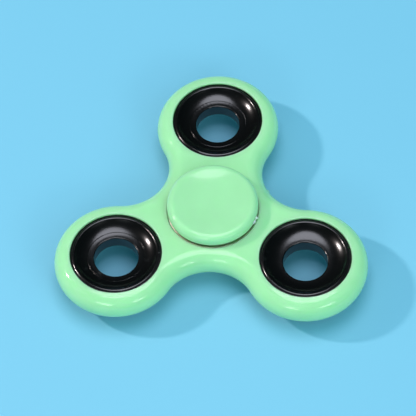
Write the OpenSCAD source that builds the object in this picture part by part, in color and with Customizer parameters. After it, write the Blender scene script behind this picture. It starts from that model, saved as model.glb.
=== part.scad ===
// Fidget spinner: a three-lobed moulded body on a 608-size ball bearing.
// The origin is the bearing's centre. +Z is the spin axis, and lobe 1 points along +Y.
// Both faces are alike, so most sections are drawn once above z = 0 and mirrored.

/* [Body] */
// Distance from the spin axis to the centre of each lobe
lobe_pitch = 26; // [25.6:0.1:28]
// Outer radius of each lobe
lobe_r = 14.9; // [14.7:0.05:15.4]
// Thickness of the moulding, which is also twice the radius of its round edge
body_t = 7.6; // [7.2:0.1:8.4]
// Radius that softens the mouth of every pocket
pocket_edge = 0.25; // [0.1:0.05:0.4]
// How far the moulding gate's stub stands out of one waist
gate_height = 0.25; // [0.1:0.05:0.4]

/* [Weights] */
// Outer radius of each weight ring, which presses into a lobe
weight_r = 11; // [10.8:0.05:11.2]
// Height of each weight ring
weight_t = 7; // [6.6:0.1:7.4]
// Radius of the hole in the middle of each weight
throat_r = 5.3; // [4.8:0.1:5.6]
// Radius of the concave bowl's arc
bowl_r = 6.2; // [5.8:0.1:7]
// Distance from the weight's axis to the rounded crest around the bowl
crest_pitch = 10.1; // [9.9:0.05:10.2]
// Radius of the crest's round top
crest_r = 0.6; // [0.4:0.05:0.7]

/* [Bearing] */
// Outer radius of the bearing
bearing_r = 11; // [10.8:0.05:11.2]
// Radius of the bearing's bore
bore_r = 4; // [3.8:0.05:4.2]
// Width of the bearing
bearing_t = 7; // [6.8:0.1:7.2]
// Diameter of each ball
ball_d = 3.969; // [3.8:0.001:4]
// Diameter of the circle that the balls' centres run on
ball_pitch_d = 15; // [14.9:0.05:15.1]
// Gap all round between a ball and its race grooves
race_gap = 0.045; // [0.03:0.005:0.08]

/* [Caps] */
// Outer radius of each finger cap
cap_r = 10.95; // [10.5:0.05:11]
// Height of the caps' outer faces above the middle plane
cap_top_z = 7.1; // [6.9:0.1:7.6]
// Height of the caps' skirts above the middle plane
cap_skirt_z = 4.7; // [4.5:0.05:4.9]
// Radius of the cap's round shoulder
cap_edge = 1.5; // [1.2:0.1:1.7]
// Depth of the finger dish
dish_depth = 0.6; // [0.4:0.05:0.7]

/* [Hidden] */
$fn = 120;
BALLS = 7;
ROUND_EDGE = body_t / 2;               // radius of the moulding's full-round edge
LOBE_CORE = lobe_r - ROUND_EDGE;       // lobe radius at which the round edge starts
WAIST_R = lobe_pitch - lobe_r;         // radius of the concave waist between two lobes
GATE_R = 0.55;
SEAM_STEP = 0.002;                     // a lobe's surface over the web's at their seam
SEAM_LAP = 0.1;                        // degrees by which a lobe laps the web
BEYOND = 1;                            // how far a cutter runs past the face it cuts

THROAT_EDGE = 0.25;                    // round at the mouth of a weight's hole
WEIGHT_EDGE = 0.2;                     // round on a weight's outer corner
FLANGE_DROP = 0.1;                     // flange outside the crest lies this far below it
LINE_R = 0.11;                         // tool line turned into two of the bowls
LINE_PITCH = 6.85;

BALL_R = ball_d / 2;
BALL_PITCH = ball_pitch_d / 2;
BALL_STEP = 360 / BALLS;
GROOVE_R = BALL_R + race_gap;
INNER_SHOULDER = 6.05;                 // outside radius of the inner ring
OUTER_SHOULDER = 9.1;                  // inside radius of the outer ring
SHIELD_SEAT = 9.6;                     // radius of the recess that a shield presses into
SHIELD_IN = 6.3;                       // inner radius of a shield
SHIELD_T = 0.25;
SHIELD_Z = 3.05;                       // underside of a shield's outer land
RING_CHAMFER = 0.3;

CAGE_T = 0.3;                          // thickness of the cage's sheet
CAGE_IN = 6.8;
CAGE_OUT = 8.2;
CAGE_POCKET = BALL_R + 0.135;          // inside radius of a cage pocket
RIVET_R = 0.35;
RIVET_HEAD_R = 0.6;
RIVET_HEAD_T = 0.2;

BOSS_R = 5.8;                          // cap shoulder that stands on the inner ring
STEM_END = 0.4;                        // height above the middle plane where a stem ends
STEM_CORE_R = 2.2;                     // blind core that keeps a stem's wall even
STEM_CORE_TOP = 4.9;
RELIEF_IN = 6.6;                       // ring-shaped core in a cap's underside
RELIEF_OUT = 9.5;
RELIEF_T = 1;
RIM_LAND = 0.3;                        // flat land between the shoulder and the dish

PLASTIC = "#9deaaf";
PLATED = "#16181a";
STEEL = "#b9b9bb";
SHEET = "#a0a0a4";

// ---- shared pieces of section and of layout ----

// What is left outside a quarter round of radius r whose square corner is at the origin.
// The round's centre is at [-r, -r].
module corner_cut(r) {
    difference() {
        translate([-r, -r]) square([r + BEYOND, r + BEYOND]);
        translate([-r, -r]) circle(r);
    }
}

// Children and their mirror image below z = 0, in a section or in space
module both_sides(up) {
    children();
    mirror(up) children();
}

// Children at a third of a turn three times, each moved out from the spin axis
module three_ways(turn, pitch) {
    for (k = [0 : 2]) rotate(turn + 120 * k) translate([pitch, 0, 0]) children();
}

module lobe_at(k) {
    rotate(90 + 120 * (k - 1)) translate([lobe_pitch, 0, 0]) children();
}

module around_balls(offset_steps) {
    for (k = [0 : BALLS - 1]) rotate(BALL_STEP * (k + offset_steps)) translate([BALL_PITCH, 0, 0])
        children();
}

// ---- spinner body ----

// Outer part of a lobe. It laps the web a little and stands a hair proud of it, because
// the round edges of a lobe and a waist are tangent where they join.
module lobe_shell() {
    edge = ROUND_EDGE + SEAM_STEP;
    rotate_extrude(angle = 240 + 2 * SEAM_LAP, start = -120 - SEAM_LAP) {
        translate([0, -edge]) square([LOBE_CORE, 2 * edge]);
        intersection() {
            translate([LOBE_CORE, 0]) circle(edge);
            translate([LOBE_CORE, -edge]) square([edge, 2 * edge]);
        }
    }
}

// Everything that a waist takes away, which leaves its round edge
module waist_cut() {
    rotate_extrude() difference() {
        translate([0, -ROUND_EDGE - BEYOND])
            square([WAIST_R + ROUND_EDGE, body_t + 2 * BEYOND]);
        translate([WAIST_R + ROUND_EDGE, 0]) circle(ROUND_EDGE);
    }
}

// Six-sided plate between the lobes' centres and the waists' centres
module web() {
    difference() {
        rotate(30) cylinder(r = lobe_pitch, h = body_t, center = true, $fn = 6);
        three_ways(30, lobe_pitch) waist_cut();
    }
}

module pocket_cut(r) {
    rotate_extrude() {
        translate([0, -ROUND_EDGE - BEYOND]) square([r, body_t + 2 * BEYOND]);
        both_sides([0, 1]) translate([r, ROUND_EDGE]) mirror([1, 0]) corner_cut(pocket_edge);
    }
}

module spinner_body() {
    color(PLASTIC) difference() {
        union() {
            web();
            three_ways(90, lobe_pitch) lobe_shell();
            rotate(30) translate([lobe_pitch - WAIST_R - BEYOND, 0, 0]) rotate([0, 90, 0])
                cylinder(r = GATE_R, h = BEYOND + gate_height);
        }
        pocket_cut(bearing_r);
        three_ways(90, lobe_pitch) pocket_cut(weight_r);
    }
}

// ---- weights ----

// Upper half of a weight's section: flange, rounded crest, bowl and throat
module weight_half_section(line) {
    rim = weight_t / 2;
    flange = rim - FLANGE_DROP;
    crest_z = rim - crest_r;
    bowl_pitch = throat_r + THROAT_EDGE;
    spread = crest_pitch - bowl_pitch;
    reach = bowl_r + crest_r;
    bowl_z = crest_z + sqrt(reach * reach - spread * spread);
    meet_x = bowl_pitch + bowl_r * spread / reach;
    meet_z = bowl_z - bowl_r * (bowl_z - crest_z) / reach;
    line_rise = bowl_z - sqrt(bowl_r * bowl_r - pow(LINE_PITCH - bowl_pitch, 2));
    difference() {
        union() {
            difference() {
                translate([throat_r, 0]) square([meet_x - throat_r, meet_z]);
                translate([bowl_pitch, bowl_z]) circle(bowl_r);
                translate([throat_r, bowl_z - bowl_r])
                    square([THROAT_EDGE, bowl_r]);
            }
            intersection() {
                translate([crest_pitch, crest_z]) circle(crest_r);
                translate([meet_x, 0]) square([crest_r * 2, rim]);
            }
            translate([meet_x, 0]) square([weight_r - meet_x, crest_z]);
            translate([crest_pitch, 0]) square([weight_r - crest_pitch, flange]);
        }
        translate([weight_r, flange]) corner_cut(WEIGHT_EDGE);
        translate([throat_r, bowl_z - bowl_r]) mirror([1, 0]) corner_cut(THROAT_EDGE);
        if (line) translate([LINE_PITCH, line_rise + LINE_R / 2]) circle(LINE_R);
    }
}

module weight(k, line) {
    color(PLATED) lobe_at(k) rotate_extrude() both_sides([0, 1]) weight_half_section(line);
}

// ---- bearing ----

module race_groove() {
    translate([BALL_PITCH, 0]) circle(GROOVE_R);
}

module bearing_outer_ring() {
    half = bearing_t / 2;
    color(STEEL) rotate_extrude() difference() {
        translate([OUTER_SHOULDER, -half]) square([bearing_r - OUTER_SHOULDER, bearing_t]);
        race_groove();
        both_sides([0, 1]) {
            translate([OUTER_SHOULDER - BEYOND, SHIELD_Z])
                square([SHIELD_SEAT - OUTER_SHOULDER + BEYOND, half]);
            translate([bearing_r, half]) corner_cut(RING_CHAMFER);
        }
    }
}

module bearing_inner_ring() {
    half = bearing_t / 2;
    color(STEEL) rotate_extrude() difference() {
        translate([bore_r, -half]) square([INNER_SHOULDER - bore_r, bearing_t]);
        race_groove();
        both_sides([0, 1]) translate([bore_r, half]) mirror([1, 0]) corner_cut(RING_CHAMFER);
    }
}

// Pressed cover: a stepped plate with its edge turned up into the outer ring's recess
module shield() {
    step_r = 7.3;
    color(SHEET) rotate_extrude() {
        translate([step_r, SHIELD_Z]) square([SHIELD_SEAT - step_r, SHIELD_T]);
        translate([SHIELD_SEAT - SHIELD_T, SHIELD_Z]) square([SHIELD_T, SHIELD_T * 1.5]);
        translate([step_r, SHIELD_Z - SHIELD_T / 2]) square([SHIELD_T, SHIELD_T]);
        translate([SHIELD_IN, SHIELD_Z - SHIELD_T / 2])
            square([step_r + SHIELD_T - SHIELD_IN, SHIELD_T]);
    }
}

// Upper half of the ribbon cage: flat bridges and a round pocket over each ball
module cage_half() {
    color(SHEET) difference() {
        intersection() {
            rotate_extrude() translate([CAGE_IN, 0]) square([CAGE_OUT - CAGE_IN, ball_d]);
            union() {
                cylinder(r = CAGE_OUT + BEYOND, h = CAGE_T);
                around_balls(0) sphere(CAGE_POCKET + CAGE_T);
            }
        }
        around_balls(0) sphere(CAGE_POCKET);
        around_balls(0.5) cylinder(r = RIVET_R, h = BEYOND, center = true);
    }
}

module cage_rivets() {
    color(STEEL) around_balls(0.5) {
        cylinder(r = RIVET_R, h = 2 * CAGE_T, center = true);
        both_sides([0, 0, 1]) translate([0, 0, CAGE_T]) cylinder(r = RIVET_HEAD_R, h = RIVET_HEAD_T);
    }
}

module ball(k) {
    color(STEEL) rotate(BALL_STEP * (k - 1)) translate([BALL_PITCH, 0, 0]) sphere(BALL_R);
}

// ---- finger caps ----

// Upper cap: disc with a round shoulder and a shallow dish, on a stem for the bearing's bore
module cap() {
    seat = bearing_t / 2;
    dish_edge = cap_r - cap_edge - RIM_LAND;
    dish_r = (dish_edge * dish_edge + dish_depth * dish_depth) / (2 * dish_depth);
    color(PLASTIC) difference() {
        rotate_extrude() difference() {
            union() {
                translate([0, cap_skirt_z]) square([cap_r, cap_top_z - cap_skirt_z]);
                translate([0, seat]) square([BOSS_R, cap_skirt_z - seat]);
                translate([0, STEM_END]) square([bore_r, seat - STEM_END]);
            }
            translate([cap_r, cap_top_z]) corner_cut(cap_edge);
            translate([RELIEF_IN, cap_skirt_z - BEYOND])
                square([RELIEF_OUT - RELIEF_IN, RELIEF_T + BEYOND]);
            translate([bore_r, STEM_END]) mirror([0, 1]) corner_cut(RING_CHAMFER);
        }
        translate([0, 0, cap_top_z - dish_depth + dish_r]) sphere(dish_r, $fn = 360);
        translate([0, 0, STEM_END - BEYOND])
            cylinder(r = STEM_CORE_R, h = STEM_CORE_TOP - STEM_END + BEYOND);
    }
}

spinner_body();
weight(1, true);  // weight_1
weight(2, true);  // weight_2
weight(3, false);  // weight_3
cap();  // cap_top
mirror([0, 0, 1]) cap();  // cap_bottom
bearing_outer_ring();
bearing_inner_ring();
shield();  // shield_upper
mirror([0, 0, 1]) shield();  // shield_lower
cage_half();  // cage_upper
mirror([0, 0, 1]) cage_half();  // cage_lower
cage_rivets();
ball(1);  // ball_1
ball(2);  // ball_2
ball(3);  // ball_3
ball(4);  // ball_4
ball(5);  // ball_5
ball(6);  // ball_6
ball(7);  // ball_7
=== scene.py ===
"""Looks for the fidget spinner: materials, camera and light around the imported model.

Lengths are in metres unless a comment says millimetres. Azimuths are degrees from +X towards +Y.
"""
import math

import bpy
from mathutils import Matrix, Vector


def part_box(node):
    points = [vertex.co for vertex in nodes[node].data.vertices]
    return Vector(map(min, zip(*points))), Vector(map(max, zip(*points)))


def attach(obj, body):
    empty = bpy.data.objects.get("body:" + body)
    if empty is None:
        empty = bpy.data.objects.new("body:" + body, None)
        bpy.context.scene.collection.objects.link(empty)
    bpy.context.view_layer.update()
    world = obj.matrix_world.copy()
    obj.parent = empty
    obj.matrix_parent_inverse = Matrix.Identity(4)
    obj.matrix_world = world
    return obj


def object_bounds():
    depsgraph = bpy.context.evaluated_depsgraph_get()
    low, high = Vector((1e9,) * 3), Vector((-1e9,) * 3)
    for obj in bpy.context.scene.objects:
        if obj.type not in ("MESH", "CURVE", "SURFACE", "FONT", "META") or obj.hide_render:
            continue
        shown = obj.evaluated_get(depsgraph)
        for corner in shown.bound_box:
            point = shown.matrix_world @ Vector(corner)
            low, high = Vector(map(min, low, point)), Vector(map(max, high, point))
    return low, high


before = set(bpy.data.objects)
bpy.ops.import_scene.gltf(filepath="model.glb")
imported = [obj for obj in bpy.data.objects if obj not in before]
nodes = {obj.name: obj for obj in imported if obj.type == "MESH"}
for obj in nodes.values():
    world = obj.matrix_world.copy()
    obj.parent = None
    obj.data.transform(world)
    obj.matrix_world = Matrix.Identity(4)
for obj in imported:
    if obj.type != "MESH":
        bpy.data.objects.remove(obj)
cad_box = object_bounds()
scene = bpy.context.scene

MM = 0.001

# Camera that matches the photograph, aimed at a point near the top face of the body
CAMERA_AIM = Vector((-1.17, 0.31, 3.5)) * MM
CAMERA_AZIMUTH = -84.559
CAMERA_ELEVATION = 57.229
CAMERA_ROLL = -3.362
CAMERA_DISTANCE = 0.5891
LENS, SENSOR = 212.4, 36        # millimetres, as Blender counts them

LIGHT_DISTANCE = 0.87
FLOOR_SIZE = 6
BALL_COUNT = 7

# Turned surfaces
PLATING_RINGS = 0.22 * MM       # spacing of the tool marks under the black plating
STEEL_RINGS = 0.12 * MM         # spacing of the tool marks on bare steel
CHATTER_RADIUS = 6.7 * MM       # where chatter shows, just inside the line turned in a bowl
CHATTER_REACH = 0.55 * MM       # half the width of the band of chatter
CHATTER_WAVES = 46              # chatter marks in one turn

# Scuffs that the photograph shows on each weight, from its centre: azimuth in degrees, then
# radius, height and reach in millimetres
SCUFF_PLACES = {
    "weight_1": [],
    "weight_2": [(-8, 8.3, 1.5, 1.6), (3, 10.2, 3.4, 0.7), (176, 10.4, 3.4, 0.6)],
    "weight_3": [(2, 8.1, 1.5, 0.9)],
}
CHATTER = {"weight_1": 0.17, "weight_2": 0.09, "weight_3": 0.02}

# Torn sliver on the foot of the upper cap's skirt, in millimetres and degrees
SKIRT_FOOT = 4.68
SKIRT_R = 10.93                 # a little inside the skirt's face, so that no gap shows
FLASH_ROOT = 0.05               # how much deeper the sliver's root lies
FLASH_START, FLASH_END = -13.5, -26.5
FLASH_STEPS = 26
FLASH_OUT = 0.45
FLASH_TALL = 0.6
FLASH_LEAST = 0.12              # height at the sliver's two ends


# ---------------------------------------------------------------- camera

def direction(azimuth, elevation):
    """Unit vector from the object towards an azimuth and an elevation in degrees."""
    a, e = math.radians(azimuth), math.radians(elevation)
    return Vector((math.cos(a) * math.cos(e), math.sin(a) * math.cos(e), math.sin(e)))


def add_camera():
    back = direction(CAMERA_AZIMUTH, CAMERA_ELEVATION)
    right = Vector((0, 0, 1)).cross(back).normalized()
    up = back.cross(right)
    roll = math.radians(CAMERA_ROLL)
    x = right * math.cos(roll) + up * math.sin(roll)
    y = up * math.cos(roll) - right * math.sin(roll)
    data = bpy.data.cameras.new("camera")
    data.lens = LENS
    data.sensor_width = SENSOR
    data.clip_start, data.clip_end = 0.05, 20
    cam = bpy.data.objects.new("camera", data)
    scene.collection.objects.link(cam)
    turn = Matrix((x, y, back)).transposed().to_4x4()
    cam.matrix_world = Matrix.Translation(CAMERA_AIM + back * CAMERA_DISTANCE) @ turn
    scene.camera = cam


# ---------------------------------------------------------------- floor and light

def add_floor():
    """Plain pale blue floor that the lower cap stands on."""
    height = cad_box[0].z
    bpy.ops.mesh.primitive_plane_add(size=FLOOR_SIZE, location=(0, 0, height))
    floor = bpy.context.object
    floor.name = "floor"
    mat, shader = new_material("floor_paint")
    shader.inputs["Base Color"].default_value = (0.215, 0.548, 0.74, 1)
    shader.inputs["Roughness"].default_value = 0.6
    floor.data.materials.append(mat)


def add_area(name, azimuth, elevation, size, watts, colour, glossy=True):
    """Soft light that faces the object. A fill light isn't glossy, so no reflection shows it."""
    data = bpy.data.lights.new(name, "AREA")
    data.energy = watts
    data.color = colour
    data.shape = "ELLIPSE"
    data.size, data.size_y = size
    light = bpy.data.objects.new(name, data)
    scene.collection.objects.link(light)
    away = direction(azimuth, elevation)
    light.location = away * LIGHT_DISTANCE
    light.rotation_euler = away.to_track_quat("Z", "Y").to_euler()
    light.visible_glossy = glossy


def add_lights():
    """A small key from the left casts the shadow and lights a spot in each bowl. A wide light
    overhead makes the broad reflections, and the strips make the streaks on the near edges."""
    strip = (0.34, 0.2)
    white = (1, 1, 1)
    add_area("key", 170, 39, (0.06, 0.06), 3.45, (1, 0.84, 0.81))
    add_area("overhead", 90, 86.4, (0.52, 0.61), 3.05, (0.92, 0.88, 0.97))
    add_area("front_left", 250.5, 30, strip, 0.85, white)
    add_area("front_right", 307.5, 30, strip, 0.85, white)
    add_area("front_fill", 275, 40, (1.3, 0.7), 0.65, (0.85, 1, 1), glossy=False)
    add_area("side_fill", 320, 40, (0.8, 0.8), 1.7, (0.75, 1, 1), glossy=False)
    world = bpy.data.worlds.new("studio")
    scene.world = world
    world.use_nodes = True
    world.cycles_visibility.glossy = False
    sky = world.node_tree.nodes["Background"]
    sky.inputs["Color"].default_value = (0.2, 0.88, 1, 1)
    sky.inputs["Strength"].default_value = 0.4


# ---------------------------------------------------------------- material helpers

def new_material(name):
    mat = bpy.data.materials.new(name)
    mat.use_nodes = True
    return mat, mat.node_tree.nodes["Principled BSDF"]


class Graph:
    """Short calls for building one material's node tree."""

    # The Mix node names its sockets alike for every data type, so colours go by number.
    MIX_A, MIX_B, MIX_RESULT = 6, 7, 2

    def __init__(self, mat):
        self.tree = mat.node_tree
        self.place = self.tree.nodes.new("ShaderNodeTexCoord").outputs["Object"]

    def link(self, source, target):
        self.tree.links.new(source, target)

    def noise(self, scale, detail=3.0, roughness=0.5):
        n = self.tree.nodes.new("ShaderNodeTexNoise")
        n.inputs["Scale"].default_value = scale
        n.inputs["Detail"].default_value = detail
        n.inputs["Roughness"].default_value = roughness
        self.link(self.place, n.inputs["Vector"])
        return n.outputs["Fac"]

    def vector_math(self, operation, a, b=None):
        n = self.tree.nodes.new("ShaderNodeVectorMath")
        n.operation = operation
        self.link(a, n.inputs[0])
        if b is not None:
            n.inputs[1].default_value = b
        return n.outputs["Value" if operation == "LENGTH" else "Vector"]

    def spread(self, value, low, high, to_low=0.0, to_high=1.0):
        """Map low to high onto to_low to to_high, and hold the ends beyond."""
        n = self.tree.nodes.new("ShaderNodeMapRange")
        n.inputs["From Min"].default_value = low
        n.inputs["From Max"].default_value = high
        n.inputs["To Min"].default_value = to_low
        n.inputs["To Max"].default_value = to_high
        self.link(value, n.inputs["Value"])
        return n.outputs["Result"]

    def math(self, operation, a, b=0):
        n = self.tree.nodes.new("ShaderNodeMath")
        n.operation = operation
        for socket, value in zip(n.inputs, (a, b)):
            if isinstance(value, (int, float)):
                socket.default_value = value
            else:
                self.link(value, socket)
        return n.outputs["Value"]

    def mix_colour(self, factor, a, b):
        n = self.tree.nodes.new("ShaderNodeMix")
        n.data_type = "RGBA"
        n.inputs[self.MIX_A].default_value = (*a, 1)
        n.inputs[self.MIX_B].default_value = (*b, 1)
        self.link(factor, n.inputs["Factor"])
        return n.outputs[self.MIX_RESULT]

    def bump(self, height, strength, distance, under=None):
        n = self.tree.nodes.new("ShaderNodeBump")
        n.inputs["Strength"].default_value = strength
        n.inputs["Distance"].default_value = distance
        self.link(height, n.inputs["Height"])
        if under:
            self.link(under, n.inputs["Normal"])
        return n.outputs["Normal"]

    def radius_from(self, centre):
        """Distance in metres from a vertical axis through centre."""
        off = self.vector_math("SUBTRACT", self.place, centre)
        return self.vector_math("LENGTH", self.vector_math("MULTIPLY", off, (1, 1, 0)))

    def rings(self, radius, spacing):
        """A sine across the rings that turning leaves."""
        return self.math("SINE", self.math("MULTIPLY", radius, 2 * math.pi / spacing))

    def band(self, radius, middle, reach):
        """1 at the middle radius, falling to 0 at reach on either side."""
        off = self.math("ABSOLUTE", self.math("SUBTRACT", radius, middle))
        fall = self.math("SUBTRACT", 1, self.math("MULTIPLY", off, 1 / reach))
        return self.math("MAXIMUM", fall, 0)

    def near(self, point, reach):
        """1 at a point on the object, falling to 0 at reach."""
        gap = self.vector_math("LENGTH", self.vector_math("SUBTRACT", self.place, point))
        return self.spread(gap, 0, reach, 1, 0)

    def sweep(self, centre, waves):
        """A sine that runs round a vertical axis through centre, so many times a turn."""
        off = self.vector_math("SUBTRACT", self.place, centre)
        parts = self.tree.nodes.new("ShaderNodeSeparateXYZ")
        self.link(off, parts.inputs["Vector"])
        angle = self.math("ARCTAN2", parts.outputs["Y"], parts.outputs["X"])
        return self.math("SINE", self.math("MULTIPLY", angle, waves))


# ---------------------------------------------------------------- materials

def plastic(name, colour, gloss, depth):
    """Translucent moulded plastic: faint flow mottle, satin patches and a fine skin. Depth is
    how far light travels in it."""
    mat, shader = new_material(name)
    g = Graph(mat)
    mottle = g.spread(g.noise(120, 4), 0.35, 0.65)
    shade = tuple(c * 0.955 for c in colour)
    g.link(g.mix_colour(mottle, shade, colour), shader.inputs["Base Color"])
    satin = g.spread(g.noise(260, 5), 0.3, 0.7, gloss - 0.03, gloss + 0.04)
    g.link(satin, shader.inputs["Roughness"])
    g.link(g.bump(g.noise(1400, 3), 0.05, 0.02 * MM), shader.inputs["Normal"])
    shader.inputs["IOR"].default_value = 1.5
    shader.inputs["Subsurface Weight"].default_value = 1
    shader.inputs["Subsurface Radius"].default_value = (0.8, 1, 0.8)
    shader.inputs["Subsurface Scale"].default_value = depth
    return mat


def centre_of(node):
    low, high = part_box(node)
    return (low + high) / 2


def scuff_place(node, azimuth, radius, height):
    """Point on a weight in metres, from its azimuth and its radius and height in millimetres."""
    a = math.radians(azimuth)
    off = Vector((math.cos(a) * radius, math.sin(a) * radius, height))
    return tuple(centre_of(node) + off * MM)


def plating(node):
    """Black plating on a weight of turned steel, with haze, scuffs, and the marks where the
    tool shook beside its line in the bowl."""
    mat, shader = new_material(f"black_plating_{node[-1]}")
    g = Graph(mat)
    centre = tuple(centre_of(node))
    radius = g.radius_from(centre)
    scuffs = g.spread(g.noise(330, 6, 0.65), 0.64, 0.78)
    streaks = g.spread(g.noise(900, 8, 0.75), 0.5, 0.62)
    for azimuth, distance, height, reach in SCUFF_PLACES[node]:
        point = scuff_place(node, azimuth, distance, height)
        spot = g.math("MULTIPLY", g.near(point, reach * MM), streaks)
        scuffs = g.math("MAXIMUM", scuffs, g.math("MULTIPLY", spot, 2))
    black, worn = (0.0035, 0.0038, 0.004), (0.02, 0.02, 0.021)
    g.link(g.mix_colour(scuffs, black, worn), shader.inputs["Base Color"])
    haze = g.spread(g.noise(200, 5), 0.3, 0.75, 0.16, 0.22)
    g.link(g.math("ADD", haze, g.math("MULTIPLY", scuffs, 0.12)), shader.inputs["Roughness"])
    patches = g.spread(g.noise(420, 3), 0.42, 0.62)
    patchy = g.math("MULTIPLY", g.band(radius, CHATTER_RADIUS, CHATTER_REACH), patches)
    shake = g.math("MULTIPLY", g.sweep(centre, CHATTER_WAVES), patchy)
    turned = g.bump(g.rings(radius, PLATING_RINGS), 0.02, 0.02 * MM)
    shaken = g.bump(shake, CHATTER[node], 0.03 * MM, turned)
    g.link(g.bump(scuffs, 0.12, 0.03 * MM, shaken), shader.inputs["Normal"])
    shader.inputs["IOR"].default_value = 1.7
    shader.inputs["Specular Tint"].default_value = (0.92, 0.98, 1, 1)
    return mat


def steel(name, colour, smooth, rough):
    """Bare steel with rings from turning, uneven in colour and in gloss."""
    mat, shader = new_material(name)
    g = Graph(mat)
    dark = tuple(c * 0.8 for c in colour)
    g.link(g.mix_colour(g.noise(500, 4), dark, colour), shader.inputs["Base Color"])
    g.link(g.spread(g.noise(700, 3), 0.3, 0.7, smooth, rough), shader.inputs["Roughness"])
    rings = g.rings(g.radius_from((0, 0, 0)), STEEL_RINGS)
    g.link(g.bump(rings, 0.08, 0.01 * MM), shader.inputs["Normal"])
    shader.inputs["Metallic"].default_value = 1
    return mat


def paint(node, mat):
    nodes[node].data.materials.clear()
    nodes[node].data.materials.append(mat)


def paint_all():
    paint("spinner_body", plastic("body_plastic", (0.46, 0.815, 0.44), 0.085, 2 * MM))
    cap = plastic("cap_plastic", (0.455, 0.8, 0.44), 0.06, 1.3 * MM)
    ring = steel("ring_steel", (0.88, 0.76, 0.7), 0.28, 0.4)
    sheet = steel("sheet_steel", (0.5, 0.5, 0.52), 0.25, 0.4)
    bright = steel("ball_steel", (0.75, 0.75, 0.76), 0.06, 0.12)
    for node in ("cap_top", "cap_bottom"):
        paint(node, cap)
    for node in SCUFF_PLACES:
        paint(node, plating(node))
    for node in ("bearing_outer_ring", "bearing_inner_ring"):
        paint(node, ring)
    for node in ("shield_upper", "shield_lower", "cage_upper", "cage_lower", "cage_rivets"):
        paint(node, sheet)
    for k in range(BALL_COUNT):
        paint(f"ball_{k + 1}", bright)


# ---------------------------------------------------------------- moulding flash on the cap

def flash_height(along):
    """Two humps that overlap, falling to 0 at both ends of the sliver."""
    first = math.sin(math.pi * min(along / 0.42, 1))
    second = 0.8 * math.sin(math.pi * max((along - 0.36) / 0.64, 0))
    return max(first, second)


def flash_section(along):
    """Corners of the sliver's section as radius and height in millimetres."""
    hump = flash_height(along)
    ragged = 1 + 0.22 * math.sin(61 * along) + 0.14 * math.sin(137 * along + 1)
    out = max(FLASH_OUT * hump * ragged, 0)
    tall = FLASH_LEAST + FLASH_TALL * hump * ragged
    return ((SKIRT_R - FLASH_ROOT, SKIRT_FOOT + tall),
            (SKIRT_R + 0.55 * out, SKIRT_FOOT + 0.75 * tall),
            (SKIRT_R + out, SKIRT_FOOT + 0.3 * tall),
            (SKIRT_R + 0.4 * out, SKIRT_FOOT - 0.06 * hump),
            (SKIRT_R - FLASH_ROOT, SKIRT_FOOT))


def add_flash():
    """Torn sliver left where the upper cap was cut from its sprue."""
    verts, faces = [], []
    for i in range(FLASH_STEPS + 1):
        along = i / FLASH_STEPS
        a = math.radians(FLASH_START + (FLASH_END - FLASH_START) * along)
        section = flash_section(along)
        verts += [Vector((math.cos(a) * r, math.sin(a) * r, z)) * MM for r, z in section]
    n = len(section)
    for start in range(0, FLASH_STEPS * n, n):
        for k in range(n):
            j = (k + 1) % n
            faces.append((start + k, start + j, start + n + j, start + n + k))
    last = FLASH_STEPS * n
    faces += [tuple(range(n)), tuple(reversed(range(last, last + n)))]
    mesh = bpy.data.meshes.new("cap_flash")
    mesh.from_pydata(verts, [], faces)
    mesh.validate()
    mesh.update()
    for face in mesh.polygons:
        face.use_smooth = True
    mesh.materials.append(plastic("torn_plastic", (0.86, 0.96, 0.87), 0.2, 0.3 * MM))
    flash = bpy.data.objects.new("cap_flash", mesh)
    scene.collection.objects.link(flash)
    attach(flash, "hub")


scene.view_settings.view_transform = "Standard"
add_camera()
add_floor()
add_lights()
paint_all()
add_flash()
